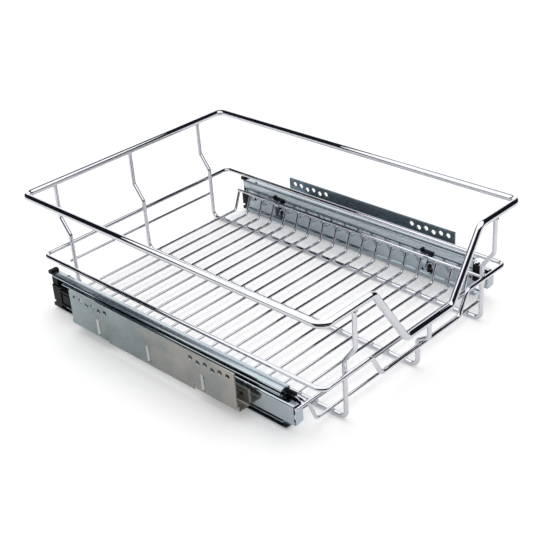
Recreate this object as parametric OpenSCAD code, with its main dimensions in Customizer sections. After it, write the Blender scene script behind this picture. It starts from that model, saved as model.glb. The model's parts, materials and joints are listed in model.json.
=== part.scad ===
// Wire pull-out basket on a pair of telescopic ball-bearing slides with cabinet brackets.
// Millimetres, +Z up, front of the basket towards -Y, standing plane at Z = 0.

/* [Rim] */
// Width between the centres of the rim's side rods
rim_w = 313.4; // [290:0.2:350]
// Depth between the centres of the rim's front and back rods
rim_d = 456; // [410:0.5:500]
// Height of the basket from the standing plane to the top of the rim
basket_h = 138.5; // [120:0.5:170]
// Diameter of the rim rod
rim_wire = 8; // [6:0.25:8.5]
// Bend radius of the rim's four corners
rim_corner_r = 10; // [8:0.5:16]
// Width of the front dip between its upper bends
dip_w = 172; // [150:1:190]
// Width of the front dip between its lower bends
dip_floor_w = 75.2; // [60:0.2:100]
// Height of the front dip's floor above the belt wire
dip_over = 5.3; // [2:0.1:12]
// Bend radius of the front dip
dip_bend_r = 9; // [7:0.5:14]

/* [Belt wire] */
// Diameter of the belt wire
belt_wire = 5; // [4:0.25:5.5]
// Gap between the belt wire and the slides below it
belt_over = 7.2; // [4.4:0.1:12]
// Distance by which the belt's sides lie inside the rim's sides
belt_in = 6.3; // [6:0.1:9]
// Width of the belt's front dip between its upper bends
belt_dip_w = 159.2; // [155:0.2:170]
// Width of the belt's front dip between its lower bends
belt_dip_floor_w = 131.2; // [120:0.2:136]
// Depth of the belt's front dip
belt_dip_h = 25.9; // [22:0.1:28]
// Bend radius of the belt wire
belt_bend_r = 8; // [6:0.5:10]

/* [Frame wires] */
// Diameter of the frame wires
frame_wire = 5; // [4:0.25:5.5]
// Distance of the outer frame wires from the rim's side rods
frame_side = 42.7; // [36:0.1:50]
// Distance by which the frame wires step inwards below the rim
frame_in = 14.5; // [13:0.25:18]
// Height of the step's lower bend above the belt wire
step_over = 12.8; // [8:0.1:20]
// Height of the step
step_h = 20; // [16:0.5:24]
// Height of the middle wire's front step above the belt's dip
middle_over = 2.7; // [2.5:0.1:6]
// Height of the middle wire's step at the front
middle_step_h = 9; // [8:0.25:10]
// Bend radius of the step
step_bend_r = 5; // [4:0.25:6]
// Bend radius where the frame wires turn under the floor
foot_bend_r = 8; // [6:0.5:12]

/* [Floor] */
// Diameter of the floor wires
floor_wire = 3.5; // [3:0.25:4]
// Number of floor wires
floor_count = 19; // [17:2:19]
// Distance of the first and the last floor wire from the upright ends of the frame wires
floor_end = 18.5; // [16:0.5:22]
// Distance of the floor wires' bends from the rim's side rods
floor_in = 19.3; // [17:0.1:26]
// Bend radius of the floor wires
floor_bend_r = 6; // [4:0.5:8]
// Diameter of the side wires
side_wire = 4; // [3.5:0.25:4.5]
// Distance of the side wires below the slides' upper races
side_drop = 2.85; // [2.45:0.1:3.45]
// Gap between the side wires and the slides
side_gap = 2; // [1.5:0.1:3]
// Diameter of the front and back cross wires
cross_wire = 3.5; // [3:0.25:4]
// Length by which the front cross wire lies on each slide
cross_over = 13.2; // [5:0.1:13.4]
// Height of the back cross wire
back_wire_z = 34.5; // [28:0.5:42]
// Length by which the back cross wire passes the outer frame wires
back_wire_over = 4; // [3.5:0.25:10]
// Depth to which crossing wires sink into each other where welded
weld = 0.1; // [0.05:0.01:0.14]
// Depth to which wire ends sink into a rod where welded
weld_end = 0.25; // [0.1:0.05:0.3]

/* [Slides] */
// Distance of the slides' basket side inwards from the rim's side rods
slide_in = 5.1; // [3:0.1:7]
// Gap between the slides and the standing plane
slide_up = 1; // [0.5:0.1:2]
// Height of the drawer rail
slide_h = 46; // [44:0.25:48]
// Width of the drawer rail
slide_w = 12.4; // [12:0.1:13.4]
// Sheet thickness of the drawer rail and the cabinet rail
rail_t = 1.2; // [1:0.05:1.3]
// Outer bend radius of the drawer rail's races
race_r = 2; // [1.5:0.1:2.2]
// Height of the drawer rail's upper race
race_h = 10.4; // [9.8:0.1:10.8]
// Height of the drawer rail's lower race
low_race_h = 5.5; // [5.2:0.1:6]
// Depth by which the drawer rail's web is set back from its races
web_in = 2.4; // [2.1:0.1:2.6]
// Outer bend radius between the races and the web
step_r = 2; // [1.5:0.1:2.1]
// Height of the drawer rail's lips
lip_h = 2.4; // [2.2:0.1:4]
// Distance of the drawer rail's front end behind the front cross wire
drawer_start = 16.5; // [14:0.5:18]
// Distance of the drawer rail's back end in front of the last floor wire
drawer_end = 5.5; // [3:0.5:8]
// Sheet thickness of the middle rail
middle_t = 1; // [0.8:0.05:1.1]
// Height of the middle rail's lips
middle_lip_h = 2.4; // [2.2:0.1:3.4]
// Distance of the middle rail's front end behind the drawer rail's
middle_start = 4.5; // [3.5:0.5:10]
// Distance of the middle rail's back end in front of the drawer rail's
middle_end = 17.5; // [16.5:0.5:24]
// Distance of the cabinet rail's back end in front of the drawer rail's
cabinet_end = 15.5; // [13.5:0.5:19.5]
// Length of the slanting cut at the cabinet rail's back end
end_cut = 8; // [4:0.5:10]
// Gap between the cabinet rail's front end and the drawer rail's front tab
front_gap = 1.6; // [1.5:0.1:2.5]
// Gap between the middle rail and the drawer rail
middle_gap = 0.8; // [0.5:0.1:0.9]
// Gap between the cabinet rail's web and the drawer rail's lips
lip_gap = 0.4; // [0.35:0.05:0.8]
// Gap between the cabinet rail's flanges and the middle rail's web
inner_gap = 1; // [0.6:0.1:1.2]
// Diameter of the balls between the middle rail and the drawer rail
outer_ball = 4; // [3.8:0.05:4.1]
// Diameter of the balls between the cabinet rail and the middle rail
inner_ball = 3.6; // [3.4:0.05:3.7]
// Running gap between a ball and its races
ball_gap = 0.3; // [0.3:0.02:0.36]
// Play of a ball in its cage
ball_play = 0.15; // [0.1:0.01:0.25]
// Number of balls in each cage strip
ball_count = 7; // [3:1:7]
// Spacing of the balls along a cage strip
ball_pitch = 26; // [12:0.5:28]
// Thickness of the cage strips
cage_t = 1; // [0.6:0.1:1.4]
// Width of the outer cage strips
outer_cage_w = 6; // [5.2:0.1:7]
// Width of the inner cage strips
inner_cage_w = 4.2; // [4.1:0.05:4.5]
// Length of the cage strips
cage_l = 182; // [176:1:186]
// Place of the outer cage's centre along the slide
outer_cage_y = 4; // [0:0.5:6]
// Place of the inner cage's centre along the slide
inner_cage_y = -7; // [-8:0.5:0]

/* [Drawer rail details] */
// Width of the front tab that carries the front cross wire
tab_w = 11.2; // [10.8:0.1:11.4]
// Height of the front tab
tab_h = 15.2; // [13:0.2:16.4]
// Rise of the rail's rounded front end above the front tab
tab_rise = 8; // [6:0.25:9]
// Bend radius of the front tab
tab_r = 2.4; // [1.6:0.1:3]
// Length by which the upper race is cut back at the front
race_cut = 2; // [1:0.5:3]
// Width of the hooks under the side wires
hook_w = 6.5; // [4:0.25:7]
// Rise of the hooks beside the side wires
hook_up = 3.5; // [2:0.25:4]
// Width of the tongues over the side wires
tongue_w = 6; // [4:0.25:7]
// Distance of the tongues' middle behind the clips' middle
tongue_y = 9; // [6:0.5:10]
// Distance of the windows below the hooks
window_drop = 7; // [4:0.25:8]
// Width of the windows left by the hooks and the springs
window_w = 16; // [12:0.5:16]
// Distance of the windows above the lower race
window_up = 1.35; // [1.05:0.1:4.05]
// Width of the springs that hang in the windows
spring_w = 6; // [4:0.25:6.5]
// Length of the springs that hang in the windows
spring_l = 9; // [6:0.5:10]
// Distance by which the springs lean towards the basket
spring_out = 3; // [1.5:0.25:3.5]
// Diameter of the small holes near the rail's ends
pin_hole = 4; // [3:0.25:5]
// Distance of the front small hole from the rail's front end
pin_front = 6.5; // [5:0.5:14]
// Distance of the back small hole from the rail's back end
pin_back = 17.5; // [14:0.5:24]

/* [Brackets] */
// Sheet thickness of the brackets
bracket_t = 1.5; // [1.2:0.1:2]
// Distance from the cabinet rail to the bracket's outer face
bracket_w = 16.3; // [12:0.1:25]
// Length of the bracket's plate
bracket_l = 263; // [258:1:280]
// Height of the bracket's plate
bracket_h = 45.5; // [43:0.5:50]
// Height of the bracket's lower edge
bracket_z = 10.3; // [9.8:0.1:11]
// Height of the feet that are riveted to the cabinet rail
foot_h = 18.7; // [16:0.1:21]
// Length of each foot
foot_l = 61; // [58:0.5:61.5]
// Length by which the feet pass the ends of the plate
foot_over = 2; // [0:0.5:4]
// Inner bend radius of the brackets
bracket_r = 1.5; // [1:0.1:2]
// Width of the relief notches beside the feet
notch_w = 3; // [2:0.25:4]
// Height of the relief notches beside the feet
notch_h = 5; // [4:0.5:7]
// Diameter of the screw holes
hole_d = 6; // [4.5:0.1:6.4]
// Number of screw holes at each end
hole_count = 6; // [4:1:6]
// Spacing of the screw holes
hole_pitch = 10.7; // [10.2:0.1:11]
// Distance of the outermost screw holes from the plate's ends
hole_in = 9.5; // [8.5:0.5:13]
// Drop of the upper screw holes below the plate's top edge
hole_drop = 7.4; // [5:0.1:9]
// Offset of the lower screw holes below the upper ones
hole_step = 2; // [0:0.1:4]
// Distance of the outer ribs from the plate's ends
rib_in = 47.5; // [42:0.5:51]
// Height of the ribs
rib_h = 23; // [16:0.5:24]
// Height of the ribs' lower ends above the plate's lower edge
rib_up = 3.6; // [3.6:0.1:6]
// Radius of the ribs
rib_r = 4; // [3:0.25:5]
// Depth of the ribs
rib_depth = 1.2; // [0.6:0.1:1.4]
// Corner radius of the plate
plate_r = 1.5; // [1:0.5:4]
// Diameter of the rivets
rivet_d = 4; // [3:0.25:5]
// Diameter of the rivet heads
rivet_head = 7; // [6:0.25:8]
// Height of the rivet heads
rivet_head_h = 1.3; // [0.8:0.1:2]
// Gap between the rivets and their holes
rivet_gap = 0.05; // [0.03:0.01:0.1]
// Distance of the rivets from the feet's outer ends
rivet_in = 35.5; // [30:0.5:41]
// Diameter of the tooling holes in the feet
tool_hole = 5; // [3:0.25:6]
// Distance of the tooling holes from the feet's outer ends
tool_hole_in = 10.5; // [7.5:0.5:15]

/* [Plastic pieces] */
// Length of the latches over the side wires
latch_l = 17; // [13:0.5:18]
// Distance of the latches' middle behind the clips' middle
latch_y = 6; // [4:0.5:8]
// Width of the latches
latch_w = 2.4; // [1.8:0.1:3.4]
// Height of the latches
latch_h = 1.8; // [1.4:0.1:3]
// Gap between the latches and the slides
latch_gap = 0.4; // [0.3:0.05:0.8]
// Height of the nubs on the latches
nub_h = 2.5; // [1.5:0.25:4]
// Length of the nubs on the latches
nub_l = 3; // [2:0.25:5]
// Length of the keys in the windows
key_l = 7.5; // [5:0.25:7.5]
// Height of the keys in the windows
key_h = 10; // [6:0.25:12]
// Distance by which the keys stand out towards the basket
key_out = 1; // [0.5:0.1:2]
// Play of the keys in the windows
key_play = 0.2; // [0.1:0.05:0.4]
// Running gap between the rear catch and the drawer rail
catch_gap = 0.5; // [0.4:0.05:0.8]
// Length of the rear catch's plug inside the cabinet rail
plug_l = 10; // [6:0.5:14]
// Play of the plug in the cabinet rail
plug_play = 0.2; // [0.15:0.05:0.4]
// Depth of the bars on the rear catch's back plate
catch_t = 5.5; // [4.5:0.25:6.5]
// Height by which the back plate stands above the drawer rail
catch_over = 3.4; // [1:0.1:4]
// Height of the bars at the top and the bottom of the back plate
catch_bar_h = 4; // [3:0.25:5]
// Distance by which the back plate ends short of its bars on the cabinet's side
catch_side = 4; // [2:0.25:5]
// Thickness of the back plate between its bars
catch_plate_t = 1.2; // [1:0.1:2]
// Length of the stem between the drawer rail's lips
stem_l = 10; // [3:0.5:14]
// Height of the catch's tab in the drawer rail's web
catch_tab_h = 16; // [10:0.5:17]
// Distance of the tab's lower edge below the slide's centre line
catch_low = 13; // [11:0.5:14]
// Length of the notch in the drawer rail's web
catch_notch_l = 5; // [4:0.5:8]
// Length of the front bumper along the slide
bumper_l = 8.5; // [6:0.5:9]
// Height of the front bumper
bumper_h = 20.5; // [16:0.5:22]
// Distance by which the bumper stands out towards the basket
bumper_out = 0.8; // [0:0.1:1]
// Thickness of the bumper's outer cheek
bumper_cheek = 2; // [1.2:0.1:2.2]
// Length of the bumper's outer cheek
cheek_l = 4; // [3:0.25:6]
// Distance of the bumper's end plate from the sides of the upper race
plate_in = 0.6; // [0.4:0.1:1]
// Gap between the bumper's end plate and the rails above and below it
plate_gap = 0.8; // [0.6:0.1:1.2]
// Play of the bumper on the drawer rail's web
bumper_play = 0.1; // [0.1:0.02:0.2]

/* [Hidden] */
eps = 0.01;
past = 1;
seam = 0.02;
bite = 0.25;
bend_n = 5;
chrome_tone = [0.86, 0.87, 0.89];
zinc_tone = [0.66, 0.68, 0.72];
bracket_tone = [0.62, 0.61, 0.59];
black_tone = [0.05, 0.05, 0.055];
cage_tone = [0.55, 0.56, 0.58];
wire_fn = 32;
hole_fn = 48;

half_h = slide_h / 2;
slide_z = slide_up + half_h;
step_v = half_h - race_h - rail_t;
low_step_v = half_h - low_race_h - rail_t;
rim_z = basket_h - rim_wire / 2;
belt_z = slide_z + half_h + belt_over + belt_wire / 2;
belt_low = belt_z - belt_dip_h;
dip_z = belt_z + dip_over;
frame_x = rim_w / 2 - frame_side;
frame_y = rim_d / 2 - frame_in;
frame_z = frame_wire / 2;
belt_x = rim_w / 2 - belt_in;
belt_y = frame_y + frame_wire / 2 + belt_wire / 2 - weld;
floor_z = frame_wire + floor_wire / 2 - weld;
floor_x = rim_w / 2 - floor_in;
floor_d = 2 * (frame_y - floor_end);
floor_pitch = floor_d / (floor_count - 1);
slide_x = rim_w / 2 - slide_in;
side_x = slide_x - side_gap - side_wire / 2;
side_z = slide_z + step_v - side_drop;
front_y = -floor_d / 2;
side_front = front_y + cross_wire / 2 - weld;
side_back = floor_d / 2 + floor_wire / 2;
back_wire_y = frame_y + frame_wire / 2 + cross_wire / 2 - weld;

drawer_front = floor_d / 2 - drawer_start;
drawer_back = floor_d / 2 - drawer_end;
middle_front = drawer_front - middle_start;
middle_back = drawer_back - middle_end;
cabinet_back = drawer_back - cabinet_end;
lip_v = half_h - lip_h;
web_u = web_in + rail_t;
outer_ball_v = half_h - rail_t - ball_gap - outer_ball / 2;
middle_v = outer_ball_v - outer_ball / 2 - ball_gap;
inner_ball_v = middle_v - middle_t - ball_gap - inner_ball / 2;
cabinet_v = inner_ball_v - inner_ball / 2 - ball_gap;
middle_u = web_u + middle_gap;
middle_reach = slide_w;
cabinet_u = slide_w + lip_gap;
cabinet_reach = middle_u + middle_t + inner_gap;
outer_ball_u = slide_w / 2;
inner_ball_u = (cabinet_reach + middle_reach - middle_t) / 2;
back_u = cabinet_u + rail_t;
tab_top = side_z - cross_wire / 2 + weld;
tab_y = front_y - rail_t / 2;
cabinet_front = front_y + rail_t / 2 + front_gap;
web_top = tab_top + tab_rise;
clip_y = 5.5 * floor_pitch;
shelf_z = side_z - side_wire / 2;
window_top = shelf_z - window_drop;
window_low = slide_z - low_step_v + window_up;
roof_z = side_z + side_wire / 2;
foot_x = slide_x + back_u;
plate_x = foot_x + bracket_w;
plate_top = bracket_z + bracket_h;
foot_end = bracket_l / 2 + foot_over;
notch_y = foot_end - foot_l - notch_w / 2;
hole_z = plate_top - hole_drop;
hole_end = bracket_l / 2 - hole_in;
rib_y = bracket_l / 2 - rib_in;
rivet_y = foot_end - rivet_in;
tool_hole_y = foot_end - tool_hole_in;
rivet_z = bracket_z + foot_h / 2 + bracket_t / 2;
catch_front = drawer_back - catch_notch_l;
catch_y = drawer_back + catch_gap;
catch_z = slide_z - catch_low;
race_front = -drawer_front + race_cut;
bumper_z = web_top + 2 * rail_t - bumper_h;

function unit(v) = v / norm(v);
function turn(p, q, s) = acos(min(1, unit(q - p) * unit(s - q)));
function arc(x, y, r, a, b) =
    [for (i = [0:bend_n]) [x + r * cos(a + (b - a) * i / bend_n), y + r * sin(a + (b - a) * i / bend_n)]];
function below(p) = [for (q = p) [q[0], -q[1]]];
function back(p) = [for (i = [len(p) - 1:-1:0]) p[i]];

// Straight length of wire from p to q
module rod(p, q, d) {
    v = q - p;
    translate(p)
        rotate([0, acos(v[2] / norm(v)), atan2(v[1], v[0])])
            cylinder(d = d, h = norm(v), $fn = wire_fn);
}

// Bend of radius r where a wire running from p to s turns at q
module elbow(p, q, s, r, d) {
    a = unit(q - p);
    b = unit(s - q);
    angle = turn(p, q, s);
    w = unit(cross(a, b));
    u = cross(a, w);
    c = q - a * r * tan(angle / 2) - u * r;
    multmatrix([[u[0], a[0], w[0], c[0]], [u[1], a[1], w[1], c[1]], [u[2], a[2], w[2], c[2]], [0, 0, 0, 1]])
        rotate_extrude(angle = angle, $fn = wire_fn)
            translate([r, 0])
                circle(d = d, $fn = wire_fn);
}

// Wire bent through the points pts, with one bend radius for each point; a closed wire joins its ends.
// The straight lengths are a hair thinner than the bends and run a little way into them.
module bent_wire(pts, radii, d, closed = false) {
    n = len(pts);
    function at(i) = pts[(i + n) % n];
    function ends(i) = !closed && (i == 0 || i == n - 1);
    function trim(i) = ends(i) ? 0 : radii[i] * tan(turn(at(i - 1), at(i), at(i + 1)) / 2) - bite;
    for (i = [0:closed ? n - 1 : n - 2]) {
        run = unit(at(i + 1) - at(i));
        rod(at(i) + run * trim(i), at(i + 1) - run * trim((i + 1) % n), d - 2 * seam);
    }
    for (i = [0:n - 1]) {
        if (!ends(i)) {
            elbow(at(i - 1), at(i), at(i + 1), radii[i], d);
        }
    }
}

// Long piece along the slide from y0 forward end to y1 back end, with its section drawn in x and z
module along(y0, y1) {
    translate([slide_x, y1, slide_z])
        rotate([90, 0, 0])
            linear_extrude(height = y1 - y0)
                children();
}

// Block between two corners
module block(a, b) {
    translate(a)
        cube(b - a);
}

module on_left() {
    mirror([1, 0, 0])
        children();
}

module top_rim() {
    x = rim_w / 2;
    y = rim_d / 2;
    low = dip_z;
    color(chrome_tone)
        bent_wire([[-x, y, rim_z], [x, y, rim_z], [x, -y, rim_z], [dip_w / 2, -y, rim_z],
                   [dip_floor_w / 2, -y, low], [-dip_floor_w / 2, -y, low], [-dip_w / 2, -y, rim_z],
                   [-x, -y, rim_z]],
                  [rim_corner_r, rim_corner_r, rim_corner_r, dip_bend_r, dip_bend_r, dip_bend_r, dip_bend_r,
                   rim_corner_r], rim_wire, closed = true);
}

module belt_wire() {
    low = belt_low;
    r = belt_bend_r;
    color(chrome_tone)
        bent_wire([[-belt_x, belt_y, belt_z], [belt_x, belt_y, belt_z], [belt_x, -belt_y, belt_z],
                   [belt_dip_w / 2, -belt_y, belt_z], [belt_dip_floor_w / 2, -belt_y, low],
                   [-belt_dip_floor_w / 2, -belt_y, low], [-belt_dip_w / 2, -belt_y, belt_z],
                   [-belt_x, -belt_y, belt_z]], [r, r, r, r, r, r, r, r], belt_wire, closed = true);
}

// Frame wire at x, whose front end starts at front_top and steps inwards by front_h down to front_step
module frame_wire_at(x, front_top, front_step, front_h) {
    y = rim_d / 2;
    r = step_bend_r;
    top = rim_z - rim_wire / 2 + weld_end;
    step = belt_z + step_over;
    bent_wire([[x, y, top], [x, y, step + step_h], [x, frame_y, step], [x, frame_y, frame_z],
               [x, -frame_y, frame_z], [x, -frame_y, front_step], [x, -y, front_step + front_h],
               [x, -y, front_top]],
              [0, r, r, foot_bend_r, foot_bend_r, r, r, 0], frame_wire);
}

module outer_frame_wire() {
    frame_wire_at(frame_x, rim_z - rim_wire / 2 + weld_end, belt_z + step_over, step_h);
}

module left_frame_wire() {
    color(chrome_tone)
        on_left()
            outer_frame_wire();
}

module right_frame_wire() {
    color(chrome_tone)
        outer_frame_wire();
}

module middle_frame_wire() {
    color(chrome_tone)
        frame_wire_at(0, dip_z - rim_wire / 2 + weld_end, belt_low + middle_over, middle_step_h);
}

// Floor wires with their ends turned up to the side wires
module floor_wires() {
    lean = unit([side_x - floor_x, side_z - floor_z]);
    reach = side_wire / 2 - weld_end;
    x = side_x - lean[0] * reach;
    z = side_z - lean[1] * reach;
    color(chrome_tone)
        for (i = [0:floor_count - 1]) {
            y = front_y + i * floor_pitch;
            bent_wire([[-x, y, z], [-floor_x, y, floor_z], [floor_x, y, floor_z], [x, y, z]],
                      [0, floor_bend_r, floor_bend_r, 0], floor_wire);
        }
}

module side_wire_right() {
    rod([side_x, side_front, side_z], [side_x, side_back, side_z], side_wire);
}

module left_side_wire() {
    color(chrome_tone)
        on_left()
            side_wire_right();
}

module right_side_wire() {
    color(chrome_tone)
        side_wire_right();
}

module front_cross_wire() {
    x = slide_x + cross_over;
    color(chrome_tone)
        rod([-x, front_y, side_z], [x, front_y, side_z], cross_wire);
}

module back_cross_wire() {
    x = frame_x + back_wire_over;
    color(chrome_tone)
        rod([-x, back_wire_y, back_wire_z], [x, back_wire_y, back_wire_z], cross_wire);
}

// Outer and inner outline of a race whose step to the web lies at height v
function race_outside(v) =
    concat([[slide_w, lip_v]], arc(slide_w - race_r, half_h - race_r, race_r, 0, 90),
           arc(race_r, half_h - race_r, race_r, 90, 180), arc(step_r, v + step_r, step_r, 180, 270),
           [[web_in, v]]);
function race_inside(v) =
    let (lip_in = slide_w - rail_t, r = race_r - rail_t)
    concat([[lip_in, lip_v]], arc(lip_in - r, half_h - race_r, r, 0, 90),
           arc(race_r, half_h - race_r, r, 90, 180), arc(step_r, v + step_r, step_r - rail_t, 180, 270),
           [[web_u, v + rail_t]]);

// Section of the drawer rail: a web set back between two races that curl round to the lips
module drawer_section() {
    polygon(concat(race_outside(step_v), back(below(race_outside(low_step_v))),
                   below(race_inside(low_step_v)), back(race_inside(step_v))));
}

// Front end of the drawer rail's web, rounded down to the tab and bent outwards
module front_tab() {
    x = slide_x + web_in;
    r = tab_rise;
    low = tab_top - tab_h;
    root = -drawer_front + past;
    bend_y = tab_y + tab_r;
    translate([x, 0, 0])
        rotate([90, 0, 90])
            linear_extrude(height = rail_t)
                polygon(concat([[root, low], [root, tab_top], [-drawer_front, tab_top]],
                               [[-drawer_front, web_top]], arc(bend_y + r, tab_top, r, 90, 180),
                               [[bend_y, low]]));
    translate([0, 0, low])
        linear_extrude(height = tab_h)
            polygon(concat(arc(x + tab_r, bend_y, tab_r, 180, 270), [[x + tab_w, tab_y]],
                           [[x + tab_w, tab_y + rail_t]], arc(x + tab_r, bend_y, tab_r - rail_t, 270, 180)));
}

// Hook under the side wire, drawn beside clip centre y
module hook(y) {
    root = slide_x + web_in + rail_t / 2;
    lip = side_x - side_wire / 2;
    translate([0, y + hook_w + past, shelf_z])
        rotate([90, 0, 0])
            linear_extrude(height = hook_w)
                polygon([[root, 0], [lip, 0], [lip, hook_up], [lip - rail_t, hook_up],
                         [lip - rail_t, -rail_t], [root, -rail_t]]);
}

// Spring that hangs from the window's upper edge and leans towards the basket, drawn behind clip centre y
module spring(y) {
    root = slide_x + web_in;
    translate([0, y + hook_w + spring_w + 2 * past, window_top])
        rotate([90, 0, 0])
            linear_extrude(height = spring_w)
                polygon([[root, rail_t], [root + rail_t, rail_t], [root + rail_t, 0],
                         [root + rail_t - spring_out, -spring_l], [root - spring_out, -spring_l], [root, 0]]);
}

// Tongue over the side wire, drawn behind clip centre y
module tongue(y) {
    root = slide_x + web_in + rail_t / 2;
    middle = y + tongue_y;
    block([side_x, middle - tongue_w / 2, roof_z], [root, middle + tongue_w / 2, roof_z + rail_t]);
}

module drawer_rail() {
    web_x = slide_x + web_in;
    difference() {
        union() {
            along(-drawer_front, drawer_back)
                drawer_section();
            for (y = [-clip_y, clip_y]) {
                hook(y);
                tongue(y);
            }
        }
        for (y = [-clip_y, clip_y]) {
            block([web_x - eps, y, window_low],
                  [web_x + rail_t + eps, y + window_w, window_top]);
        }
        for (y = [pin_front - drawer_front, drawer_back - pin_back]) {
            translate([web_x - past, y, slide_z - rail_t])
                rotate([0, 90, 0])
                    cylinder(d = pin_hole, h = rail_t + 2 * past, $fn = hole_fn);
        }
        block([web_x - eps, catch_front, catch_z - catch_gap],
              [web_x + rail_t + eps, drawer_back + past, catch_z + catch_tab_h + catch_gap]);
        block([slide_x - past, -drawer_front - past, slide_z + step_v],
              [slide_x + slide_w + past, race_front, slide_z + half_h + past]);
    }
    front_tab();
    for (y = [-clip_y, clip_y]) {
        spring(y);
    }
}

module left_drawer_rail() {
    color(zinc_tone)
        on_left()
            drawer_rail();
}

module right_drawer_rail() {
    color(zinc_tone)
        drawer_rail();
}

// Plastic latches on the tongues over the side wires, with their keys in the windows below
module latches() {
    x1 = slide_x - latch_gap;
    x0 = x1 - latch_w;
    z = roof_z + rail_t;
    web_x = slide_x + web_in;
    key_z = window_low + key_play;
    for (y = [latch_y - clip_y, latch_y + clip_y]) {
        key_y = y - latch_y + key_play;
        block([x0, y - latch_l / 2, z], [x1, y + latch_l / 2, z + latch_h]);
        block([x0, y + latch_l / 2 - nub_l, z + latch_h - eps], [x1, y + latch_l / 2, z + latch_h + nub_h]);
        block([web_x - key_out, key_y, key_z], [web_x + rail_t, key_y + key_l, key_z + key_h]);
    }
}

module left_latches() {
    color(black_tone)
        on_left()
            latches();
}

module right_latches() {
    color(black_tone)
        latches();
}

// Plastic bumper that straddles the drawer rail's web below the front end of the upper race
module bumper() {
    web_x = slide_x + web_in;
    top = bumper_z + bumper_h;
    block([slide_x - bumper_out, race_front - bumper_l, bumper_z], [web_x - bumper_play, race_front, top]);
    block([web_x + rail_t + bumper_play, race_front - cheek_l, bumper_z],
          [web_x + rail_t + bumper_cheek, race_front, top]);
    block([slide_x + plate_in, race_front - race_cut + bumper_play, slide_z + cabinet_v + plate_gap],
          [slide_x + slide_w - plate_in, race_front, slide_z + middle_v - middle_t - plate_gap]);
}

module left_bumper() {
    color(black_tone)
        on_left()
            bumper();
}

module right_bumper() {
    color(black_tone)
        bumper();
}

// Section of the middle rail: an upright web with two lipped flanges that carry balls on both faces
module middle_section() {
    t = middle_t;
    r = 2 * t;
    w = middle_reach;
    low = middle_v - middle_lip_h;
    outside = concat([[w, low]], arc(w - r, middle_v - r, r, 0, 90),
                     arc(middle_u + r, middle_v - r, r, 90, 180));
    inside = concat([[w - t, low]], arc(w - r, middle_v - r, r - t, 0, 90),
                    arc(middle_u + r, middle_v - r, r - t, 90, 180));
    polygon(concat(outside, back(below(outside)), below(inside), back(inside)));
}

module middle_rail() {
    along(-middle_front, middle_back)
        middle_section();
}

module left_middle_rail() {
    color(zinc_tone)
        on_left()
            middle_rail();
}

module right_middle_rail() {
    color(zinc_tone)
        middle_rail();
}

// Place of each ball along a cage strip
function ball_places() = [for (i = [0:ball_count - 1]) (i - (ball_count - 1) / 2) * ball_pitch];

// Upper and lower cage strip at height v, with a row of round pockets
module cage(u, v, w, ball, y) {
    for (s = [-1, 1]) {
        translate([slide_x + u, y, slide_z + s * v])
            difference() {
                cube([w, cage_l, cage_t], center = true);
                for (place = ball_places()) {
                    translate([0, place, 0])
                        cylinder(d = ball + 2 * ball_play, h = 2 * cage_t, center = true, $fn = hole_fn);
                }
            }
    }
}

// Upper and lower row of balls at height v
module balls(u, v, ball, y) {
    for (s = [-1, 1]) {
        for (place = ball_places()) {
            translate([slide_x + u, y + place, slide_z + s * v])
                sphere(d = ball, $fn = wire_fn);
        }
    }
}

module outer_cage() {
    cage(outer_ball_u, outer_ball_v, outer_cage_w, outer_ball, outer_cage_y);
}

module outer_balls() {
    balls(outer_ball_u, outer_ball_v, outer_ball, outer_cage_y);
}

module inner_cage() {
    cage(inner_ball_u, inner_ball_v, inner_cage_w, inner_ball, inner_cage_y);
}

module inner_balls() {
    balls(inner_ball_u, inner_ball_v, inner_ball, inner_cage_y);
}

module left_outer_cage() {
    color(cage_tone)
        on_left()
            outer_cage();
}

module right_outer_cage() {
    color(cage_tone)
        outer_cage();
}

module left_outer_balls() {
    color(chrome_tone)
        on_left()
            outer_balls();
}

module right_outer_balls() {
    color(chrome_tone)
        outer_balls();
}

module left_inner_cage() {
    color(cage_tone)
        on_left()
            inner_cage();
}

module right_inner_cage() {
    color(cage_tone)
        inner_cage();
}

module left_inner_balls() {
    color(chrome_tone)
        on_left()
            inner_balls();
}

module right_inner_balls() {
    color(chrome_tone)
        inner_balls();
}

// Section of the cabinet rail: a flat panel with two flanges turned towards the basket
module cabinet_section() {
    r = 2 * rail_t;
    w = cabinet_reach;
    outside = concat([[w, cabinet_v]], arc(back_u - r, cabinet_v - r, r, 90, 0));
    inside = concat([[w, cabinet_v - rail_t]], arc(back_u - r, cabinet_v - r, r - rail_t, 90, 0));
    polygon(concat(outside, back(below(outside)), below(inside), back(inside)));
}

// Round hole along x through the sheet whose near face is at x
module side_hole(x, y, z, d, t) {
    translate([x - past, y, z])
        rotate([0, 90, 0])
            cylinder(d = d, h = t + 2 * past, $fn = hole_fn);
}

module cabinet_rail() {
    x = slide_x + cabinet_u;
    low = slide_z - cabinet_v - past;
    difference() {
        along(cabinet_front, cabinet_back)
            cabinet_section();
        translate([slide_x, 0, 0])
            rotate([90, 0, 90])
                linear_extrude(height = back_u + past)
                    polygon([[cabinet_back - end_cut, low], [cabinet_back + past, low],
                             [cabinet_back + past, slide_z + cabinet_v / 2],
                             [cabinet_back, slide_z + cabinet_v / 2]]);
        for (s = [-1, 1]) {
            side_hole(x, s * rivet_y, rivet_z, rivet_d + 2 * rivet_gap, rail_t);
            side_hole(x, s * tool_hole_y, rivet_z, tool_hole, rail_t);
        }
    }
}

module left_cabinet_rail() {
    color(zinc_tone)
        on_left()
            cabinet_rail();
}

module right_cabinet_rail() {
    color(zinc_tone)
        cabinet_rail();
}

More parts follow.
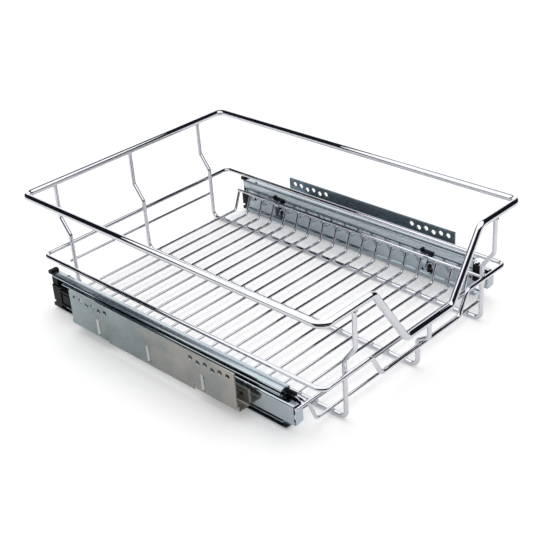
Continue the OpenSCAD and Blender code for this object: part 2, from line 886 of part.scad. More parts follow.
// Plastic catch plugged into the back end of the cabinet rail; its tab enters the drawer rail's web
module rear_catch() {
    x0 = slide_x + cabinet_reach;
    x1 = slide_x + cabinet_u;
    v = cabinet_v - rail_t - plug_play;
    body_x = slide_x + middle_u;
    plate_0 = slide_x + rail_t;
    plate_1 = slide_x + slide_w;
    stem_v = lip_v - catch_gap;
    top = slide_z + half_h + catch_over;
    low = slide_z - half_h + 2 * rail_t;
    union() {
        block([x0, cabinet_back - plug_l, slide_z - v], [x1, cabinet_back + past, slide_z + v]);
        block([body_x, cabinet_back, slide_z - v], [slide_x + back_u, catch_y + eps, slide_z + v]);
        block([body_x, catch_y - stem_l, slide_z - stem_v], [plate_1, catch_y + eps, slide_z + stem_v]);
        block([plate_0, catch_y, low], [plate_1 - catch_side, catch_y + catch_plate_t, top]);
        block([plate_0, catch_y, top - catch_bar_h], [plate_1, catch_y + catch_t, top]);
        block([plate_0, catch_y, low], [plate_1, catch_y + catch_t, low + catch_bar_h]);
        block([plate_0, catch_front + catch_gap, catch_z],
              [body_x + eps, catch_y + catch_t, catch_z + catch_tab_h]);
    }
}

module left_rear_catch() {
    color(black_tone)
        on_left()
            rear_catch();
}

module right_rear_catch() {
    color(black_tone)
        rear_catch();
}

// Section of a bracket foot: the plate's lower edge, the floor of the channel and the riveted leg
module foot_section() {
    t = bracket_t;
    ro = bracket_r + t;
    rise = bracket_z + 2 * ro;
    outside = concat([[foot_x, bracket_z + foot_h]], arc(foot_x + ro, bracket_z + ro, ro, 180, 270),
                     arc(plate_x - ro, bracket_z + ro, ro, 270, 360), [[plate_x, rise]]);
    inside = concat([[plate_x - t, rise]], arc(plate_x - ro, bracket_z + ro, bracket_r, 360, 270),
                    arc(foot_x + ro, bracket_z + ro, bracket_r, 270, 180),
                    [[foot_x + t, bracket_z + foot_h]]);
    polygon(concat(outside, inside));
}

// Upright rib pressed into the plate, as a solid of revolution about its own axis outside the plate
module rib(r, y) {
    translate([plate_x + rib_r - rib_depth, y, bracket_z + rib_up])
        rotate_extrude($fn = hole_fn)
            polygon([[0, 0], [r, 0], [r, rib_h - rib_r], [r / 2, rib_h], [0, rib_h]]);
}

// Outline of the bracket's plate, which ends above the bends of the feet at both ends
module plate_outline() {
    r = plate_r;
    half = bracket_l / 2;
    foot_start = notch_y + notch_w / 2;
    bend_top = bracket_z + 2 * bracket_r + bracket_t;
    polygon(concat([[-half, bend_top]], arc(-half + r, plate_top - r, r, 180, 90),
                   arc(half - r, plate_top - r, r, 90, 0), [[half, bend_top], [foot_start, bend_top]],
                   [[foot_start, bracket_z], [-foot_start, bracket_z], [-foot_start, bend_top]]));
}

module bracket() {
    t = bracket_t;
    half = bracket_l / 2;
    difference() {
        union() {
            translate([plate_x - t, 0, 0])
                rotate([90, 0, 90])
                    linear_extrude(height = t)
                        plate_outline();
            for (s = [0, 1]) {
                mirror([0, s, 0])
                    translate([0, foot_end, 0])
                        rotate([90, 0, 0])
                            linear_extrude(height = foot_l)
                                foot_section();
            }
            intersection() {
                for (y = [-rib_y, 0, rib_y]) {
                    rib(rib_r + t, y);
                }
                block([plate_x - t - rib_r, -half, bracket_z], [plate_x - eps, half, plate_top]);
            }
        }
        for (y = [-rib_y, 0, rib_y]) {
            rib(rib_r, y);
        }
        for (s = [-1, 1]) {
            for (i = [0:hole_count - 1]) {
                drop = i > 0 && i % 2 == 0 ? hole_step : 0;
                side_hole(plate_x - t, s * (hole_end - i * hole_pitch), hole_z - drop, hole_d, t);
            }
            side_hole(foot_x, s * rivet_y, rivet_z, rivet_d + 2 * rivet_gap, t);
            side_hole(foot_x, s * tool_hole_y, rivet_z, tool_hole, t);
            block([plate_x - t - past, s * notch_y - notch_w / 2, bracket_z - past],
                  [plate_x + past, s * notch_y + notch_w / 2, bracket_z + notch_h]);
        }
    }
}

module left_bracket() {
    color(bracket_tone)
        on_left()
            bracket();
}

module right_bracket() {
    color(bracket_tone)
        bracket();
}

// Rivets that join the cabinet rail to the bracket's feet
module rivets() {
    grip = rail_t + bracket_t;
    for (y = [-rivet_y, rivet_y]) {
        translate([slide_x + cabinet_u, y, rivet_z])
            rotate([0, 90, 0])
                rotate_extrude($fn = hole_fn)
                    polygon([[0, -rivet_head_h], [rivet_head / 2 - rivet_head_h, -rivet_head_h],
                             [rivet_head / 2, 0], [rivet_d / 2, 0], [rivet_d / 2, grip],
                             [rivet_head / 2, grip], [rivet_head / 2 - rivet_head_h, grip + rivet_head_h],
                             [0, grip + rivet_head_h]]);
    }
}

module left_rivets() {
    color(zinc_tone)
        on_left()
            rivets();
}

module right_rivets() {
    color(zinc_tone)
        rivets();
}

top_rim();
belt_wire();
left_frame_wire();
middle_frame_wire();
right_frame_wire();
floor_wires();
left_side_wire();
right_side_wire();
front_cross_wire();
back_cross_wire();
left_drawer_rail();
right_drawer_rail();
left_latches();
right_latches();
left_bumper();
right_bumper();
left_outer_cage();
right_outer_cage();
left_outer_balls();
right_outer_balls();
left_middle_rail();
right_middle_rail();
left_inner_cage();
right_inner_cage();
left_inner_balls();
right_inner_balls();
left_cabinet_rail();
right_cabinet_rail();
left_rear_catch();
right_rear_catch();
left_bracket();
right_bracket();
left_rivets();
right_rivets();
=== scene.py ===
import bpy
import json
import math
from mathutils import Matrix, Vector


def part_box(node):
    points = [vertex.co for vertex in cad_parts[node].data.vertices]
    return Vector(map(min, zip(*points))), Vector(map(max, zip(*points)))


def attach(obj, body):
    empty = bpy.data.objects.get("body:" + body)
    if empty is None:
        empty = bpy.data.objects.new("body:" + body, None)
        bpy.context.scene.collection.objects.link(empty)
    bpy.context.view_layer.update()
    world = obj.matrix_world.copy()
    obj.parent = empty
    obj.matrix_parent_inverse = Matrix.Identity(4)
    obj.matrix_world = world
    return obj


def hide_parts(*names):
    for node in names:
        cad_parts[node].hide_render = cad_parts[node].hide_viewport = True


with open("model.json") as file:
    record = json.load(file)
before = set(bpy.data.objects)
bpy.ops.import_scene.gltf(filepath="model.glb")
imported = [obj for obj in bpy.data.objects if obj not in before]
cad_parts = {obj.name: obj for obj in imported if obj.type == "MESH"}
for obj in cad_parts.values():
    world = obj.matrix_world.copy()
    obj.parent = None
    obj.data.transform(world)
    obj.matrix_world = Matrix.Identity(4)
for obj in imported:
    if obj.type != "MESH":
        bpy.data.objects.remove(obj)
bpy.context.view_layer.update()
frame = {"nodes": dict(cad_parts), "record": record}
nodes = frame["nodes"]
scene = bpy.context.scene
scene.view_settings.view_transform = "Standard"
SIDES = {"left": -1, "right": 1}


# Material helpers

EVEN = (1, 1, 1)
ALONG_SLIDE = (1, 0.04, 1)


def new_material(name):
    material = bpy.data.materials.new(name)
    material.use_nodes = True
    tree = material.node_tree
    return material, tree.nodes, tree.links, tree.nodes["Principled BSDF"]


def stretched_coords(made, links, stretch):
    coords = made.new("ShaderNodeTexCoord")
    mapping = made.new("ShaderNodeMapping")
    mapping.inputs["Scale"].default_value = stretch
    links.new(coords.outputs["Object"], mapping.inputs["Vector"])
    return mapping.outputs["Vector"]


def cloud(made, links, vector, scale, detail=3.0, roughness=0.55):
    noise = made.new("ShaderNodeTexNoise")
    noise.inputs["Scale"].default_value = scale
    noise.inputs["Detail"].default_value = detail
    noise.inputs["Roughness"].default_value = roughness
    links.new(vector, noise.inputs["Vector"])
    return noise.outputs["Fac"]


def ramp(made, links, factor, stops):
    node = made.new("ShaderNodeValToRGB")
    band = node.color_ramp
    for element, (place, tone) in zip(band.elements, (stops[0], stops[-1])):
        element.position = place
        element.color = tone + (1,)
    for place, tone in stops[1:-1]:
        band.elements.new(place).color = tone + (1,)
    links.new(factor, node.inputs["Fac"])
    return node.outputs["Color"]


def spread(made, links, factor, low, high):
    node = made.new("ShaderNodeMapRange")
    node.inputs["To Min"].default_value = low
    node.inputs["To Max"].default_value = high
    links.new(factor, node.inputs["Value"])
    return node.outputs["Result"]


def weighted_sum(made, links, factor, weight, base):
    node = made.new("ShaderNodeMath")
    node.operation = "MULTIPLY_ADD"
    links.new(factor, node.inputs[0])
    node.inputs[1].default_value = weight
    links.new(base, node.inputs[2])
    return node.outputs["Value"]


def place_along(made, links, vector, axis):
    split = made.new("ShaderNodeSeparateXYZ")
    links.new(vector, split.inputs["Vector"])
    return split.outputs[axis]


def relief(made, links, shader, factor, depth, strength):
    node = made.new("ShaderNodeBump")
    node.inputs["Distance"].default_value = depth
    node.inputs["Strength"].default_value = strength
    links.new(factor, node.inputs["Height"])
    links.new(node.outputs["Normal"], shader.inputs["Normal"])


# Finishes: tones are linear colours at places on the noise, gloss is the range of roughness

CHROME_TONES = [(0.3, (0.70, 0.705, 0.75)), (0.7, (0.77, 0.775, 0.815))]
CHROME_GLOSS = (0.01, 0.035)
RAIL_TONES = [(0.25, (0.42, 0.48, 0.52)), (0.75, (0.53, 0.59, 0.63))]
DRAWER_TONES = [(0.25, (0.45, 0.525, 0.575)), (0.75, (0.575, 0.65, 0.695))]
RAIL_GLOSS = (0.06, 0.14)
DRAWER_METAL = 0.94
BRACKET_TONES = [
    (0.25, (0.333, 0.399, 0.416)),
    (0.47, (0.265, 0.312, 0.315)),
    (0.64, (0.42, 0.40, 0.375)),
    (0.80, (0.45, 0.42, 0.385)),
]
# Painted reflection: the right bracket's zinc is a lighter, bluer copy of the bracket zinc, for the teal it
# shows by reflection
FAR_BRACKET_REFLECTION_TONES = [
    (0.32, (0.36, 0.46, 0.53)),
    (0.52, (0.43, 0.525, 0.59)),
    (0.70, (0.35, 0.455, 0.52)),
]
BRACKET_GLOSS = (0.20, 0.32)
BRACKET_METAL = 0.80
# Painted light and shade: how much lighter the bracket is towards the front than towards the rear
BRACKET_PAINTED_LIGHT_SLOPE = 2.0
# Lighter zinc: on eased bracket edges it is partly wear and partly painted highlight, on the rib grooves'
# front-facing walls it is painted highlight
WEAR_AND_HIGHLIGHT_TONES = [(0.25, (0.60, 0.63, 0.64)), (0.75, (0.70, 0.72, 0.73))]
WEAR_AND_HIGHLIGHT_GLOSS = (0.14, 0.26)
CAGE_TONES = [(0.25, (0.42, 0.44, 0.46)), (0.75, (0.54, 0.56, 0.58))]
CAGE_GLOSS = (0.25, 0.40)
BALL_TONES = [(0.3, (0.72, 0.73, 0.75)), (0.7, (0.84, 0.85, 0.86))]
BALL_GLOSS = (0.08, 0.2)
PLASTIC_TONES = [(0.3, (0.003, 0.003, 0.0035)), (0.7, (0.007, 0.007, 0.008))]
PLASTIC_GLOSS = (0.28, 0.5)
PLASTIC_SHINE = 0.14

# Painted shade: the crease between the web and the upper race is painted dark where shade falls under the
# race, and the race above it is a little duller
CREASE_LOW = 0.0332
CREASE_HIGH = 0.0356
CREASE_SHADE_TONE = (0.035, 0.045, 0.065, 1)
CREASE_SHADE_PROFILE = [(0.0, (0, 0, 0)), (0.25, (1, 1, 1)), (0.85, (1, 1, 1)), (1.0, (0, 0, 0))]
RACE_DULLING = 0.10


def bright_chrome():
    material, made, links, shader = new_material("bright_chrome")
    shader.inputs["Metallic"].default_value = 1.0
    even = stretched_coords(made, links, EVEN)
    haze = cloud(made, links, even, scale=34.0, detail=4.0)
    wipe_marks = cloud(made, links, even, scale=190.0, detail=5.0, roughness=0.65)
    waves = cloud(made, links, even, scale=160.0, detail=2.0)
    links.new(ramp(made, links, haze, CHROME_TONES), shader.inputs["Base Color"])
    links.new(spread(made, links, wipe_marks, *CHROME_GLOSS), shader.inputs["Roughness"])
    relief(made, links, shader, waves, depth=0.0001, strength=0.02)
    return material


def rolled_zinc(name, tones, gloss, metal=1.0, crease=False, painted_light_slope=0.0):
    material, made, links, shader = new_material(name)
    shader.inputs["Metallic"].default_value = metal
    rolled = stretched_coords(made, links, ALONG_SLIDE)
    even = stretched_coords(made, links, EVEN)
    lines = cloud(made, links, rolled, scale=500.0, roughness=0.6)
    haze = cloud(made, links, even, scale=17.0, detail=4.0)
    # Painted light and shade: the tone is lighter towards the front and darker towards the rear
    if painted_light_slope:
        haze = weighted_sum(made, links, place_along(made, links, even, "Y"), -painted_light_slope, haze)
    tone = ramp(made, links, haze, tones)
    dullness = spread(made, links, lines, *gloss)
    if crease:
        tone, dullness = paint_shade_under_race(made, links, even, tone, dullness)
    links.new(tone, shader.inputs["Base Color"])
    links.new(dullness, shader.inputs["Roughness"])
    relief(made, links, shader, lines, depth=0.00002, strength=0.02)
    return material


# Painted shade: a dark band at the crease's height is mixed into the zinc's colour
def paint_shade_under_race(made, links, even, tone, dullness):
    level = made.new("ShaderNodeMapRange")
    level.inputs["From Min"].default_value = CREASE_LOW
    level.inputs["From Max"].default_value = CREASE_HIGH
    links.new(place_along(made, links, even, "Z"), level.inputs["Value"])
    mixed = made.new("ShaderNodeMix")
    mixed.data_type = "RGBA"
    links.new(ramp(made, links, level.outputs["Result"], CREASE_SHADE_PROFILE), mixed.inputs["Factor"])
    links.new(tone, mixed.inputs["A"])
    mixed.inputs["B"].default_value = CREASE_SHADE_TONE
    return mixed.outputs["Result"], weighted_sum(made, links, level.outputs["Result"], RACE_DULLING, dullness)


def moulded_black():
    material, made, links, shader = new_material("moulded_black")
    even = stretched_coords(made, links, EVEN)
    grain = cloud(made, links, even, scale=1400.0)
    haze = cloud(made, links, even, scale=60.0)
    links.new(ramp(made, links, haze, PLASTIC_TONES), shader.inputs["Base Color"])
    links.new(spread(made, links, haze, *PLASTIC_GLOSS), shader.inputs["Roughness"])
    shader.inputs["Specular IOR Level"].default_value = PLASTIC_SHINE
    relief(made, links, shader, grain, depth=0.0002, strength=0.15)
    return material


def polished_steel():
    material, made, links, shader = new_material("polished_steel")
    shader.inputs["Metallic"].default_value = 1.0
    haze = cloud(made, links, stretched_coords(made, links, EVEN), scale=300.0)
    links.new(ramp(made, links, haze, BALL_TONES), shader.inputs["Base Color"])
    links.new(spread(made, links, haze, *BALL_GLOSS), shader.inputs["Roughness"])
    return material


def bracket_zinc():
    return rolled_zinc("bracket_zinc", BRACKET_TONES, BRACKET_GLOSS, BRACKET_METAL, painted_light_slope=BRACKET_PAINTED_LIGHT_SLOPE)


wear_and_highlight_zinc = rolled_zinc("wear_and_highlight_zinc", WEAR_AND_HIGHLIGHT_TONES, WEAR_AND_HIGHLIGHT_GLOSS)
drawer_zinc = rolled_zinc("drawer_zinc", DRAWER_TONES, RAIL_GLOSS, DRAWER_METAL, crease=True)
far_bracket_reflection_zinc = rolled_zinc("far_bracket_reflection_zinc", FAR_BRACKET_REFLECTION_TONES, BRACKET_GLOSS, BRACKET_METAL)
finishes = {
    "chrome_wire": bright_chrome(),
    "zinc_rail": rolled_zinc("blue_zinc", RAIL_TONES, RAIL_GLOSS),
    "zinc_bracket": bracket_zinc(),
    "cage_steel": rolled_zinc("cage_zinc", CAGE_TONES, CAGE_GLOSS),
    "ball_steel": polished_steel(),
    "black_plastic": moulded_black(),
}
slots = {part["node"]: part["material_slot"] for part in frame["record"]["subparts"]}
for name, slot in slots.items():
    nodes[name].data.materials.clear()
    nodes[name].data.materials.append(finishes[slot])
for side in SIDES:
    nodes[side + "_drawer_rail"].data.materials[0] = drawer_zinc
# Painted reflection: the right bracket gets its own lighter, bluer zinc
nodes["right_bracket"].data.materials[0] = far_bracket_reflection_zinc


# Modelling helpers

MERGE_DISTANCE = 0.000002
FLAT_ANGLE = math.radians(0.5)
EDGE_ANGLE = math.radians(30)
SMOOTH_ANGLE = math.radians(18)


def activate(piece):
    bpy.ops.object.select_all(action="DESELECT")
    piece.select_set(True)
    bpy.context.view_layer.objects.active = piece


def pick_faces(piece, wanted):
    bpy.ops.object.mode_set(mode="EDIT")
    bpy.ops.mesh.select_mode(type="FACE")
    bpy.ops.mesh.select_all(action="DESELECT")
    bpy.ops.object.mode_set(mode="OBJECT")
    for face in piece.data.polygons:
        face.select = wanted(face)
    bpy.ops.object.mode_set(mode="EDIT")


def pick_points(piece, wanted):
    bpy.ops.object.mode_set(mode="EDIT")
    bpy.ops.mesh.select_mode(type="VERT")
    bpy.ops.mesh.select_all(action="DESELECT")
    bpy.ops.object.mode_set(mode="OBJECT")
    for point in piece.data.vertices:
        point.select = wanted(point.co)
    bpy.ops.object.mode_set(mode="EDIT")


def ease_edges(piece, width, edge_slot=-1):
    activate(piece)
    bevel = piece.modifiers.new("eased_edge", "BEVEL")
    bevel.width = width
    bevel.segments = 2
    bevel.limit_method = "ANGLE"
    bevel.angle_limit = EDGE_ANGLE
    bevel.material = edge_slot
    bpy.ops.object.modifier_apply(modifier=bevel.name)
    bpy.ops.object.shade_smooth_by_angle(angle=SMOOTH_ANGLE)


def merged_copy(node_name, name):
    piece = bpy.data.objects.new(name, nodes[node_name].data.copy())
    scene.collection.objects.link(piece)
    activate(piece)
    bpy.ops.object.mode_set(mode="EDIT")
    bpy.ops.mesh.select_mode(type="VERT")
    bpy.ops.mesh.select_all(action="SELECT")
    bpy.ops.mesh.remove_doubles(threshold=MERGE_DISTANCE)
    bpy.ops.mesh.dissolve_limited(angle_limit=FLAT_ANGLE)
    bpy.ops.object.mode_set(mode="OBJECT")
    return piece


def block(name, low, high):
    bpy.ops.object.select_all(action="DESELECT")
    middle = [(a + b) / 2 for a, b in zip(low, high)]
    bpy.ops.mesh.primitive_cube_add(size=1, location=middle)
    piece = bpy.context.object
    piece.name = name
    piece.scale = [b - a for a, b in zip(low, high)]
    bpy.ops.object.transform_apply(location=True, rotation=True, scale=True)
    return piece


def finish_piece(piece, body, slot):
    piece.data.materials.clear()
    piece.data.materials.append(finishes[slot])
    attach(piece, body)


def stand_for(piece, body, node_name):
    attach(piece, body)
    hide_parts(node_name)


# Pressed and moulded pieces with eased edges

BRACKET_EASE = 0.00045
CATCH_EASE = 0.0005
BUMPER_EASE = 0.0004
PLATE_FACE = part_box("right_bracket")[1].x
RIB_Y = (-0.084, 0.0, 0.084)
RIB_HALF = 0.0034
RIB_Z = (0.0125, 0.0380)
RIB_DEPTH = (0.00003, 0.0014)
RIB_FACING = -0.12
WEAR_AND_HIGHLIGHT_SLOT = 1


def eased_node(node_name, body, width):
    piece = merged_copy(node_name, node_name + "_eased")
    ease_edges(piece, width)
    stand_for(piece, body, node_name)


def bracket_with_wear_and_highlights(node_name):
    bracket = merged_copy(node_name, node_name + "_eased")
    bracket.data.materials.append(wear_and_highlight_zinc)
    # The eased edges get the lighter zinc, partly as wear and partly as painted highlight
    ease_edges(bracket, BRACKET_EASE, WEAR_AND_HIGHLIGHT_SLOT)
    # Painted highlight: the rib grooves' walls that face the front get the lighter zinc
    for face in bracket.data.polygons:
        place = face.center
        beside = min(abs(place.y - y) for y in RIB_Y) < RIB_HALF and RIB_Z[0] < place.z < RIB_Z[1]
        sunk = RIB_DEPTH[0] < PLATE_FACE - abs(place.x) < RIB_DEPTH[1]
        if beside and sunk and face.normal.y < RIB_FACING:
            face.material_index = WEAR_AND_HIGHLIGHT_SLOT
    stand_for(bracket, "cabinet_side", node_name)


# Small pieces of the slides

RAIL_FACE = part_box("right_cabinet_rail")[1].x
PAD_THICK = 0.0026
PAD_Y = (0.1505, 0.1735)
PAD_Z = (0.0135, 0.0345)
PAD_BORDER = 0.0022
PAD_SUNK = 0.0012
PAD_GROOVE = 0.003
PAD_RAISED = 0.0009
PAD_EASE = 0.0004


# A black plastic pad on the cabinet rail's rear end; it also stands in for the shade inside the slide's rear
# end, so it is partly painted shade
def rear_pad(side, sign):
    across = sorted((sign * RAIL_FACE, sign * (RAIL_FACE + PAD_THICK)))
    pad = block(side + "_rear_pad", *zip(across, PAD_Y, PAD_Z))
    pick_faces(pad, lambda face: face.normal.x * sign > 0.9)
    bpy.ops.mesh.inset(thickness=PAD_BORDER)
    bpy.ops.mesh.extrude_region_move(TRANSFORM_OT_translate={"value": (-sign * PAD_SUNK, 0, 0)})
    bpy.ops.mesh.inset(thickness=PAD_GROOVE)
    bpy.ops.mesh.extrude_region_move(TRANSFORM_OT_translate={"value": (sign * PAD_RAISED, 0, 0)})
    bpy.ops.object.mode_set(mode="OBJECT")
    ease_edges(pad, PAD_EASE)
    finish_piece(pad, "cabinet_side", "black_plastic")


RACE_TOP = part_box("right_drawer_rail")[1].z
TONGUE_X = 0.1545
TONGUE_HALF = 0.0014
TONGUE_Y = (0.1668, 0.1702)
TONGUE_ROOT = 0.0004
TONGUE_RISE = 0.0016
TONGUE_SLOPE = 0.0013
TONGUE_EASE = 0.0003


def race_tongue(side, sign):
    across = (sign * TONGUE_X - TONGUE_HALF, sign * TONGUE_X + TONGUE_HALF)
    upright = (RACE_TOP - TONGUE_ROOT, RACE_TOP + TONGUE_RISE)
    tongue = block(side + "_race_tongue", *zip(across, TONGUE_Y, upright))
    pick_points(tongue, lambda co: co.z > RACE_TOP and co.y < sum(TONGUE_Y) / 2)
    bpy.ops.transform.translate(value=(0, 0, -TONGUE_SLOPE))
    bpy.ops.object.mode_set(mode="OBJECT")
    ease_edges(tongue, TONGUE_EASE)
    finish_piece(tongue, "basket", "zinc_rail")


RACE_MIDDLE = 0.1578
RACE_HALF = 0.0042
RACE_CROWN = 0.00045
CROWN_STEPS = [quarter / 4 for quarter in range(-3, 4)]
ON_RACE_TOP = 0.00005
ON_CUT = 0.00001


def crowned_rail(side, sign):
    node_name = side + "_drawer_rail"
    rail = merged_copy(node_name, node_name + "_crowned")
    cuts = [(step, sign * (RACE_MIDDLE + step * RACE_HALF)) for step in CROWN_STEPS]
    for step, cut in cuts:
        bpy.ops.object.mode_set(mode="EDIT")
        bpy.ops.mesh.select_all(action="SELECT")
        bpy.ops.mesh.bisect(plane_co=(cut, 0, 0), plane_no=(1, 0, 0))
        bpy.ops.object.mode_set(mode="OBJECT")
    for step, cut in cuts:
        pick_points(rail, lambda co: co.z > RACE_TOP - ON_RACE_TOP and abs(co.x - cut) < ON_CUT)
        bpy.ops.transform.translate(value=(0, 0, RACE_CROWN * (1 - step * step)))
        bpy.ops.object.mode_set(mode="OBJECT")
    activate(rail)
    bpy.ops.object.shade_smooth_by_angle(angle=SMOOTH_ANGLE)
    stand_for(rail, "basket", node_name)


# The spring wire's bend is a list of places: along y from its clip's middle, and in height
CLIP_Y = 0.11917
CLIP_WEB = 0.1534
SPRING_WIRE = 0.0006
SPRING_SECTION = (0.7, 1.5, 1, 1)
SPRING_SMOOTH = math.radians(60)
SPRING_BEND = [
    (0.0062, 0.0112),
    (0.0066, 0.0165),
    (0.0058, 0.0208),
    (0.0030, 0.0222),
    (0.0002, 0.0212),
    (-0.0006, 0.0186),
    (0.0010, 0.0158),
    (0.0026, 0.0136),
]


def clip_spring(side, sign, middle):
    bpy.ops.object.select_all(action="DESELECT")
    bpy.ops.mesh.primitive_circle_add(vertices=8, radius=SPRING_WIRE, fill_type="NGON", location=(0, 0, 0))
    spring = bpy.context.object
    spring.name = side + "_clip_spring"
    places = [Vector((sign * CLIP_WEB, middle + y, z)) for y, z in SPRING_BEND]
    spring.data.transform(Matrix.Translation(places[0]) @ Matrix.Diagonal(SPRING_SECTION))
    bpy.ops.object.mode_set(mode="EDIT")
    bpy.ops.mesh.select_all(action="SELECT")
    heading = Vector((0, 0, 1))
    for here, there in zip(places, places[1:]):
        way = (there - here).normalized()
        turn = math.atan2(heading.cross(way).x, heading.dot(way))
        bpy.ops.mesh.extrude_region_move(TRANSFORM_OT_translate={"value": there - here})
        bpy.ops.transform.rotate(value=-turn, orient_axis="X", center_override=there)
        heading = way
    bpy.ops.mesh.select_all(action="SELECT")
    bpy.ops.mesh.normals_make_consistent(inside=False)
    bpy.ops.object.mode_set(mode="OBJECT")
    bpy.ops.object.shade_smooth_by_angle(angle=SPRING_SMOOTH)
    return spring


def clip_springs(side, sign):
    pair = [clip_spring(side, sign, middle) for middle in (CLIP_Y, -CLIP_Y)]
    for spring in pair:
        spring.select_set(True)
    bpy.ops.object.join()
    springs = bpy.context.object
    springs.name = side + "_clip_springs"
    finish_piece(springs, "basket", "chrome_wire")


# Weld beads where the wires cross

FLOOR_ROWS = 19
FLOOR_REACH = 0.195
FLOOR_Y = [FLOOR_REACH * (2 * row / (FLOOR_ROWS - 1) - 1) for row in range(FLOOR_ROWS)]
FLOOR_WELD_Z = 0.0050
FRAME_X = (-0.114, 0.0, 0.114)
OUTER_FRAME_X = FRAME_X[::2]
SIDE_WELD_X = (-0.1472, 0.1472)
SIDE_WELD_Z = 0.0309
RIM_WELD_Y = 0.2286
RIM_WELD_Z = 0.1304
BELT_WELD_Y = 0.2160
BELT_WELD_Z = 0.0567
BACK_WELD_Z = 0.0345
BEAD_RADIUS = 0.0027
BEAD_POLE = 0.002
BEAD_FLATTENED = (0.8, 0.8, 0.9)
FLOOR_BEAD = (1.0, 1.0, 0.42)
SIDE_BEAD = (0.85, 0.85, 0.5)
RIM_BEAD = (1.25, 1.25, 0.55)
BELT_BEAD = (0.85, 0.5, 1.0)
BACK_BEAD = (0.75, 0.5, 0.85)


def weld_places():
    for y in FLOOR_Y:
        for x in FRAME_X:
            yield (x, y, FLOOR_WELD_Z), FLOOR_BEAD
        for x in SIDE_WELD_X:
            yield (x, y, SIDE_WELD_Z), SIDE_BEAD
    for x in FRAME_X:
        yield (x, RIM_WELD_Y, RIM_WELD_Z), RIM_BEAD
        yield (x, BELT_WELD_Y, BELT_WELD_Z), BELT_BEAD
        yield (x, BELT_WELD_Y, BACK_WELD_Z), BACK_BEAD
    for x in OUTER_FRAME_X:
        yield (x, -RIM_WELD_Y, RIM_WELD_Z), RIM_BEAD
        yield (x, -BELT_WELD_Y, BELT_WELD_Z), BELT_BEAD


def wire_welds():
    bpy.ops.object.select_all(action="DESELECT")
    bpy.ops.mesh.primitive_uv_sphere_add(segments=10, ring_count=6, radius=BEAD_RADIUS, location=(0, 0, 0))
    bead = bpy.context.object
    pick_points(bead, lambda co: abs(co.z) > BEAD_POLE)
    bpy.ops.transform.resize(value=BEAD_FLATTENED)
    bpy.ops.mesh.select_all(action="SELECT")
    bpy.ops.mesh.normals_make_consistent(inside=False)
    bpy.ops.object.mode_set(mode="OBJECT")
    bpy.ops.object.shade_smooth()
    beads = []
    for place, stretch in weld_places():
        copy = bpy.data.objects.new("wire_weld", bead.data.copy())
        copy.data.transform(Matrix.Translation(place) @ Matrix.Diagonal(stretch + (1,)))
        scene.collection.objects.link(copy)
        beads.append(copy)
    bpy.data.objects.remove(bead)
    activate(beads[0])
    for copy in beads:
        copy.select_set(True)
    bpy.ops.object.join()
    welds = bpy.context.object
    welds.name = "wire_welds"
    finish_piece(welds, "basket", "chrome_wire")


for side, sign in SIDES.items():
    bracket_with_wear_and_highlights(side + "_bracket")
    eased_node(side + "_rear_catch", "cabinet_side", CATCH_EASE)
    eased_node(side + "_bumper", "basket", BUMPER_EASE)
    crowned_rail(side, sign)
    rear_pad(side, sign)
    race_tongue(side, sign)
    clip_springs(side, sign)
wire_welds()


# Studio: white floor and room, with a dark tent and cards that only metal shows

FLOOR_SIZE = 14
FLOOR_Z = -0.0005
PAPER_TONES = [(0.3, (0.93, 0.93, 0.935)), (0.7, (0.95, 0.95, 0.95))]
PAPER_GLOW = 0.22
TENT_HALF = 2.3
TENT_HEIGHT = 2.4
FELT_TONE = (0.012, 0.015, 0.021, 1)
CARD_TONE = (0.01, 0.01, 0.012, 1)
WHITE = (1, 1, 1, 1)
LIGHT_CARD_Z = 0.434
LIGHT_CARD = [
    (0.28, -1.0, LIGHT_CARD_Z),
    (0.28, 0.155, LIGHT_CARD_Z),
    (-1.6, 0.94, LIGHT_CARD_Z),
    (-1.6, 0.88, LIGHT_CARD_Z),
]
LIGHT_CARD_GLOW = 1.35
BACKDROP_HIGH = 1.30
BACKDROP_CARD = [
    (0.30, 2.20, 0),
    (2.20, 0.30, 0),
    (2.20, 0.30, BACKDROP_HIGH),
    (0.30, 2.20, BACKDROP_HIGH),
]
BACKDROP_GLOW = 1.2
FRONT_CARD_Z = 0.001
DARK_FRONT_CARD = [
    (-1.9, -0.2, FRONT_CARD_Z),
    (-0.2, -1.9, FRONT_CARD_Z),
    (0.7, -1.35, FRONT_CARD_Z),
    (-1.35, 0.7, FRONT_CARD_Z),
]
LAMP_FROM = (0.42, 0.36, 0.83)
LAMP_ENERGY = 1.15
LAMP_ANGLE = math.radians(78)
ROOM_LIGHT = 0.68
ROOM_SEEN = 1.0


def white_floor():
    bpy.ops.object.select_all(action="DESELECT")
    bpy.ops.mesh.primitive_plane_add(size=FLOOR_SIZE, location=(0, 0, 0))
    floor = bpy.context.object
    floor.name = "floor"
    floor.data.transform(Matrix.Translation((0, 0, FLOOR_Z)))
    material, made, links, shader = new_material("white_paper")
    haze = cloud(made, links, stretched_coords(made, links, EVEN), scale=3.0)
    links.new(ramp(made, links, haze, PAPER_TONES), shader.inputs["Base Color"])
    shader.inputs["Roughness"].default_value = 0.9
    shader.inputs["Specular IOR Level"].default_value = 0.1
    path = made.new("ShaderNodeLightPath")
    glow = spread(made, links, path.outputs["Is Camera Ray"], 0.0, PAPER_GLOW)
    shader.inputs["Emission Color"].default_value = WHITE
    links.new(glow, shader.inputs["Emission Strength"])
    floor.data.materials.append(material)


def seen_in_metal_only(sheet):
    sheet.visible_camera = False
    sheet.visible_diffuse = False
    sheet.visible_shadow = False
    sheet.visible_transmission = False


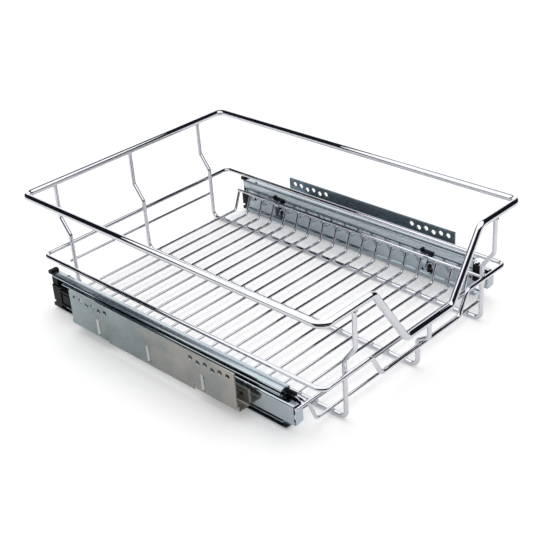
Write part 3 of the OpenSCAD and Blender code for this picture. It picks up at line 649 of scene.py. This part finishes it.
def dark_tent():
    bpy.ops.object.select_all(action="DESELECT")
    bpy.ops.mesh.primitive_cube_add(size=1, location=(0, 0, 0))
    tent = bpy.context.object
    tent.name = "dark_tent"
    size = Matrix.Diagonal((2 * TENT_HALF, 2 * TENT_HALF, TENT_HEIGHT, 1))
    tent.data.transform(Matrix.Translation((0, 0, TENT_HEIGHT / 2)) @ size)
    pick_faces(tent, lambda face: face.normal.z < -0.5)
    bpy.ops.mesh.delete(type="FACE")
    bpy.ops.object.mode_set(mode="OBJECT")
    material, made, links, shader = new_material("black_felt")
    shader.inputs["Base Color"].default_value = FELT_TONE
    shader.inputs["Roughness"].default_value = 1.0
    shader.inputs["Specular IOR Level"].default_value = 0.0
    tent.data.materials.append(material)
    seen_in_metal_only(tent)


def card(name, corners, glow):
    bpy.ops.object.select_all(action="DESELECT")
    bpy.ops.mesh.primitive_circle_add(vertices=len(corners), radius=1, fill_type="NGON", location=(0, 0, 0))
    sheet = bpy.context.object
    sheet.name = name
    for point, corner in zip(sheet.data.vertices, corners):
        point.co = corner
    material, made, links, shader = new_material(name + "_paper")
    shader.inputs["Base Color"].default_value = CARD_TONE
    shader.inputs["Specular IOR Level"].default_value = 0.0
    shader.inputs["Emission Color"].default_value = WHITE
    shader.inputs["Emission Strength"].default_value = glow
    sheet.data.materials.append(material)
    seen_in_metal_only(sheet)


def soft_lamp():
    lamp = bpy.data.lights.new("soft_lamp", "SUN")
    lamp.energy = LAMP_ENERGY
    lamp.angle = LAMP_ANGLE
    holder = bpy.data.objects.new("soft_lamp", lamp)
    holder.rotation_euler = Vector(LAMP_FROM).to_track_quat("Z", "Y").to_euler()
    holder.visible_glossy = False
    scene.collection.objects.link(holder)


def white_room():
    room = bpy.data.worlds.new("white_room")
    scene.world = room
    room.use_nodes = True
    made, links = room.node_tree.nodes, room.node_tree.links
    path = made.new("ShaderNodeLightPath")
    seen = made.new("ShaderNodeMath")
    seen.operation = "MAXIMUM"
    links.new(path.outputs["Is Camera Ray"], seen.inputs[0])
    links.new(path.outputs["Is Glossy Ray"], seen.inputs[1])
    strength = spread(made, links, seen.outputs["Value"], ROOM_LIGHT, ROOM_SEEN)
    links.new(strength, made["Background"].inputs["Strength"])
    made["Background"].inputs["Color"].default_value = WHITE


# The photograph's camera, in metres and degrees, with its focal length in pixels

EYE = (-0.7445, -0.7752, 0.6482)
AZIMUTH = math.radians(-44.016)
ELEVATION = math.radians(29.402)
ROLL = math.radians(-4.484)
FOCAL_PIXELS = 1078.62
PHOTO_PIXELS = 540
SENSOR = 36


def camera():
    level = math.cos(ELEVATION)
    backward = Vector((math.sin(AZIMUTH) * level, -math.cos(AZIMUTH) * level, math.sin(ELEVATION)))
    right = Vector((math.cos(AZIMUTH), math.sin(AZIMUTH), 0))
    up = backward.cross(right)
    turned_right = math.cos(ROLL) * right + math.sin(ROLL) * up
    turned_up = -math.sin(ROLL) * right + math.cos(ROLL) * up
    turn = Matrix((turned_right, turned_up, backward)).transposed()
    lens = bpy.data.cameras.new("camera")
    lens.sensor_width = SENSOR
    lens.sensor_fit = "HORIZONTAL"
    lens.lens = FOCAL_PIXELS / PHOTO_PIXELS * SENSOR
    lens.clip_start = 0.01
    holder = bpy.data.objects.new("camera", lens)
    holder.matrix_world = Matrix.Translation(EYE) @ turn.to_4x4()
    scene.collection.objects.link(holder)
    scene.camera = holder


white_floor()
dark_tent()
card("light_card", LIGHT_CARD, LIGHT_CARD_GLOW)
card("backdrop_card", BACKDROP_CARD, BACKDROP_GLOW)
card("dark_front_card", DARK_FRONT_CARD, 0.0)
soft_lamp()
white_room()
camera()
